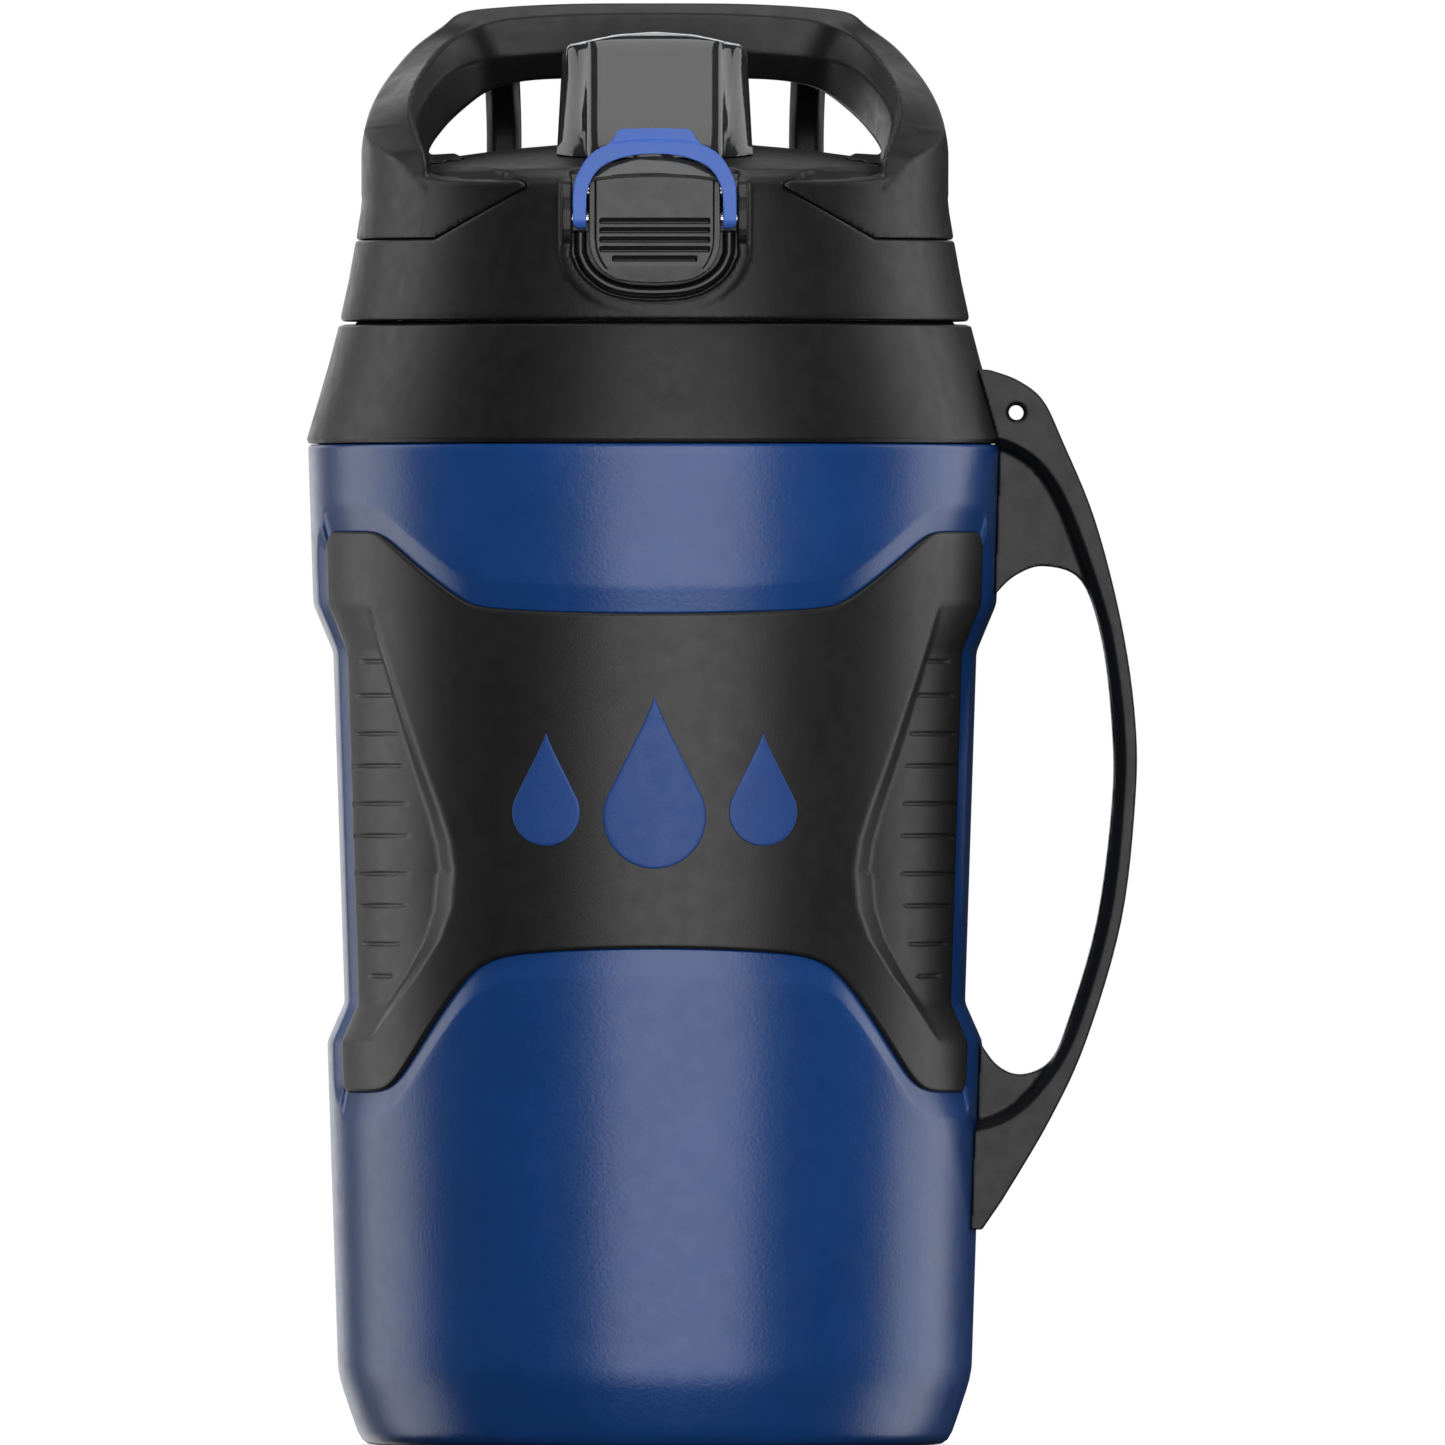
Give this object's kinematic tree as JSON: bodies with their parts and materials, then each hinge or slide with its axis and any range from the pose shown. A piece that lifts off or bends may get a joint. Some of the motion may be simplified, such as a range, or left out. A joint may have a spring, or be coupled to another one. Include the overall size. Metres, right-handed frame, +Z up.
{
  "type": "insulated water jug",
  "caption": "Large foam-insulated sports water jug with a screw lid, a flip cover over its spout, a push latch with a lock bail, a carry loop and a side handle",
  "frame": {"origin": "on the body's axis, at the base plane that the jug stands on", "axes": "+Z up along the body's axis, -Y towards the front with the latch and emblem, +X towards the side handle"},
  "size_m": [0.1843, 0.1546, 0.3203],
  "materials": {
    "blue_shell": "satin, fine orange-peel texture",
    "soft_grip": "soft-touch matte",
    "emblem_blue": "satin",
    "foam": "closed-cell foam",
    "white_liner": "smooth",
    "black_plastic": "satin, fine texture",
    "steel": "turned",
    "silicone": "translucent silicone",
    "smoke_cover": "smoke-tinted gloss plastic",
    "button_black": "satin",
    "bail_blue": "satin"
  },
  "bodies": {
    "jug": {"outer_shell": "blue_shell", "grip_panel_front": "soft_grip", "grip_panel_rear": "soft_grip", "front_emblem": "emblem_blue", "foam_core": "foam", "inner_liner": "white_liner", "base_cap": "blue_shell", "foam_fill_plug": "blue_shell", "neck_collar": "black_plastic", "side_handle": "black_plastic", "side_handle_grip": "soft_grip", "handle_screw_cover": "black_plastic", "handle_screws": "steel"},
    "lid_gasket": {"lid_gasket": "silicone"},
    "lid": {"lid_shell": "black_plastic", "lid_liner": "white_liner", "lid_foam": "foam", "carry_handle": "black_plastic", "spout": "white_liner", "latch_housing": "black_plastic", "hinge_pin": "steel", "cover_spring": "steel", "button_pin": "steel", "button_spring": "steel", "bail_pins": "steel"},
    "flip_cover": {"flip_cover": "smoke_cover", "spout_seal": "silicone", "vent_seal": "silicone"},
    "latch_button": {"latch_button": "button_black"},
    "lock_bail": {"lock_bail": "bail_blue"}
  },
  "joints": [
    {"name": "lid_lift", "type": "slide", "parent": "jug", "child": "lid_gasket", "axis": [0, 0, 1], "range_m": [0, 0.01]},
    {"name": "lid_turn", "type": "hinge", "parent": "lid_gasket", "child": "lid", "pos_m": [0, 0, 0.27], "axis": [0, 0, 1], "range_deg": [0, 450]},
    {"name": "cover_hinge", "type": "hinge", "parent": "lid", "child": "flip_cover", "pos_m": [0, 0, 0.2929], "axis": [-1, 0, 0], "range_deg": [0, 90]},
    {"name": "button_rock", "type": "hinge", "parent": "lid", "child": "latch_button", "pos_m": [0, -0.0606, 0.2776], "axis": [1, 0, 0], "range_deg": [0, 5], "stiffness_Nm_per_rad": 0.02},
    {"name": "bail_swing", "type": "hinge", "parent": "lid", "child": "lock_bail", "pos_m": [0, -0.0646, 0.2717], "axis": [1, 0, 0], "range_deg": [0, 120]}
  ],
  "couplings": [
    {"joint": "lid_lift", "follows": "lid_turn", "m_per_rad": 0.0012732}
  ]
}
